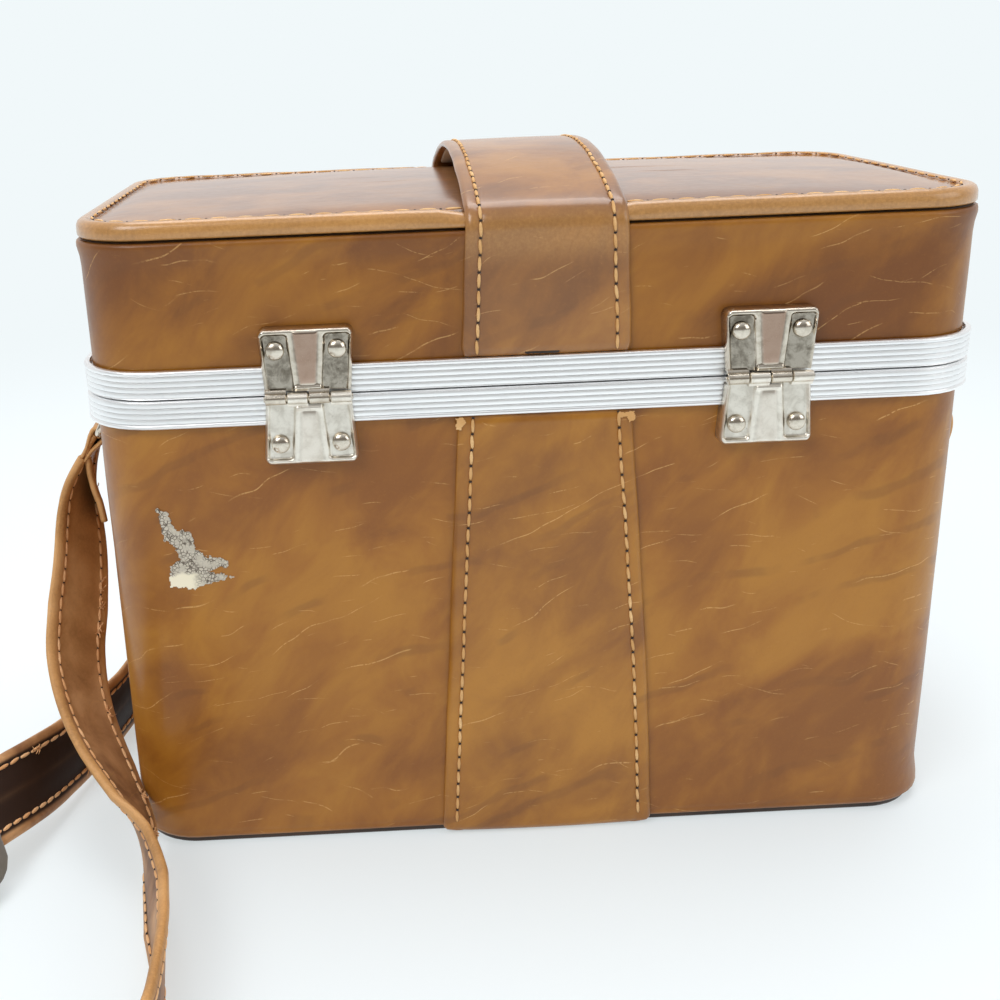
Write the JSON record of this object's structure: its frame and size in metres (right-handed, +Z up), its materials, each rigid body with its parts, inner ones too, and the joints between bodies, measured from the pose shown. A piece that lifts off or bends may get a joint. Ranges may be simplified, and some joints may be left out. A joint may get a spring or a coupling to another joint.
{
  "type": "camera case",
  "caption": "Rigid vinyl-covered camera case with a stop-hinged lid, ribbed metal valance, handle strip over the lid, front latches and a shoulder strap.",
  "frame": {"origin": "middle of the underside, on the surface that the case stands on", "axes": "+Z up, +X to the right seen from the hinge wall, +Y from the hinge wall to the latch wall; the hinge wall, which the picture shows, faces -Y"},
  "size_m": [0.4697, 0.3695, 0.2491],
  "materials": {
    "fibreboard": "matte",
    "brown_vinyl": "satin, mottled caramel and dark brown",
    "strip_vinyl": "satin, mottled",
    "bottom_vinyl": "matte",
    "valance_aluminium": "ribbed satin",
    "lining_cloth": "matte",
    "felt": "matte",
    "cream_lining": "matte",
    "strap_vinyl": "satin",
    "grey_pad": "satin",
    "nickel_steel": "nickel plated, slightly worn",
    "spring_steel": "plain"
  },
  "bodies": {
    "root": {"back_strip": "strip_vinyl", "base_cover": "brown_vinyl", "base_floor": "fibreboard", "base_lining": "lining_cloth", "base_valance": "valance_aluminium", "base_wall": "fibreboard", "bottom_panel": "bottom_vinyl", "cross_divider": "felt", "floor_pad": "felt", "front_strip": "strip_vinyl", "hinge_base_rivets": "nickel_steel", "hinge_left_base_leaf": "nickel_steel", "hinge_left_pin": "nickel_steel", "hinge_right_base_leaf": "nickel_steel", "hinge_right_pin": "nickel_steel", "latch_base_rivets": "nickel_steel", "latch_left_case": "nickel_steel", "latch_left_spring": "spring_steel", "latch_right_case": "nickel_steel", "latch_right_spring": "spring_steel", "long_divider": "felt", "ring_plate_left": "nickel_steel", "ring_plate_right": "nickel_steel", "ring_plate_rivets": "nickel_steel", "shoulder_pad": "grey_pad", "shoulder_strap": "strap_vinyl"},
    "lid": {"handle_lining": "cream_lining", "handle_strip": "strip_vinyl", "hinge_left_lid_leaf": "nickel_steel", "hinge_lid_rivets": "nickel_steel", "hinge_right_lid_leaf": "nickel_steel", "latch_left_pin": "nickel_steel", "latch_left_plate": "nickel_steel", "latch_lid_rivets": "nickel_steel", "latch_right_pin": "nickel_steel", "latch_right_plate": "nickel_steel", "lid_cover": "brown_vinyl", "lid_lining": "lining_cloth", "lid_top_board": "fibreboard", "lid_valance": "valance_aluminium", "lid_wall": "fibreboard", "top_panel": "brown_vinyl"},
    "latch_left_hasp": {"latch_left_hasp": "nickel_steel"},
    "latch_right_hasp": {"latch_right_hasp": "nickel_steel"},
    "latch_left_slide": {"latch_left_slide": "nickel_steel"},
    "latch_right_slide": {"latch_right_slide": "nickel_steel"},
    "ring_left": {"ring_left": "nickel_steel", "strap_end_left": "strap_vinyl"},
    "ring_right": {"ring_right": "nickel_steel", "strap_end_right": "strap_vinyl"}
  },
  "joints": [
    {"name": "lid_hinge", "type": "hinge", "parent": "root", "child": "lid", "pos_m": [0, -0.0865, 0.175], "axis": [1, 0, 0], "range_deg": [0, 95]},
    {"name": "left_hasp_hinge", "type": "hinge", "parent": "lid", "child": "latch_left_hasp", "pos_m": [-0.077, 0.0889, 0.193], "axis": [1, 0, 0], "range_deg": [0, 120]},
    {"name": "right_hasp_hinge", "type": "hinge", "parent": "lid", "child": "latch_right_hasp", "pos_m": [0.077, 0.0889, 0.193], "axis": [1, 0, 0], "range_deg": [0, 120]},
    {"name": "left_thumb_slide", "type": "slide", "parent": "root", "child": "latch_left_slide", "axis": [-1, 0, 0], "range_m": [0, 0.006], "stiffness_N_per_m": 300, "deforming": ["latch_left_spring"]},
    {"name": "right_thumb_slide", "type": "slide", "parent": "root", "child": "latch_right_slide", "axis": [1, 0, 0], "range_m": [0, 0.006], "stiffness_N_per_m": 300, "deforming": ["latch_right_spring"]},
    {"name": "left_ring_swing", "type": "hinge", "parent": "root", "child": "ring_left", "pos_m": [-0.1558, 0, 0.157], "axis": [0, 1, 0], "range_deg": [0, 90]},
    {"name": "right_ring_swing", "type": "hinge", "parent": "root", "child": "ring_right", "pos_m": [0.1558, 0, 0.157], "axis": [0, -1, 0], "range_deg": [0, 75]}
  ]
}
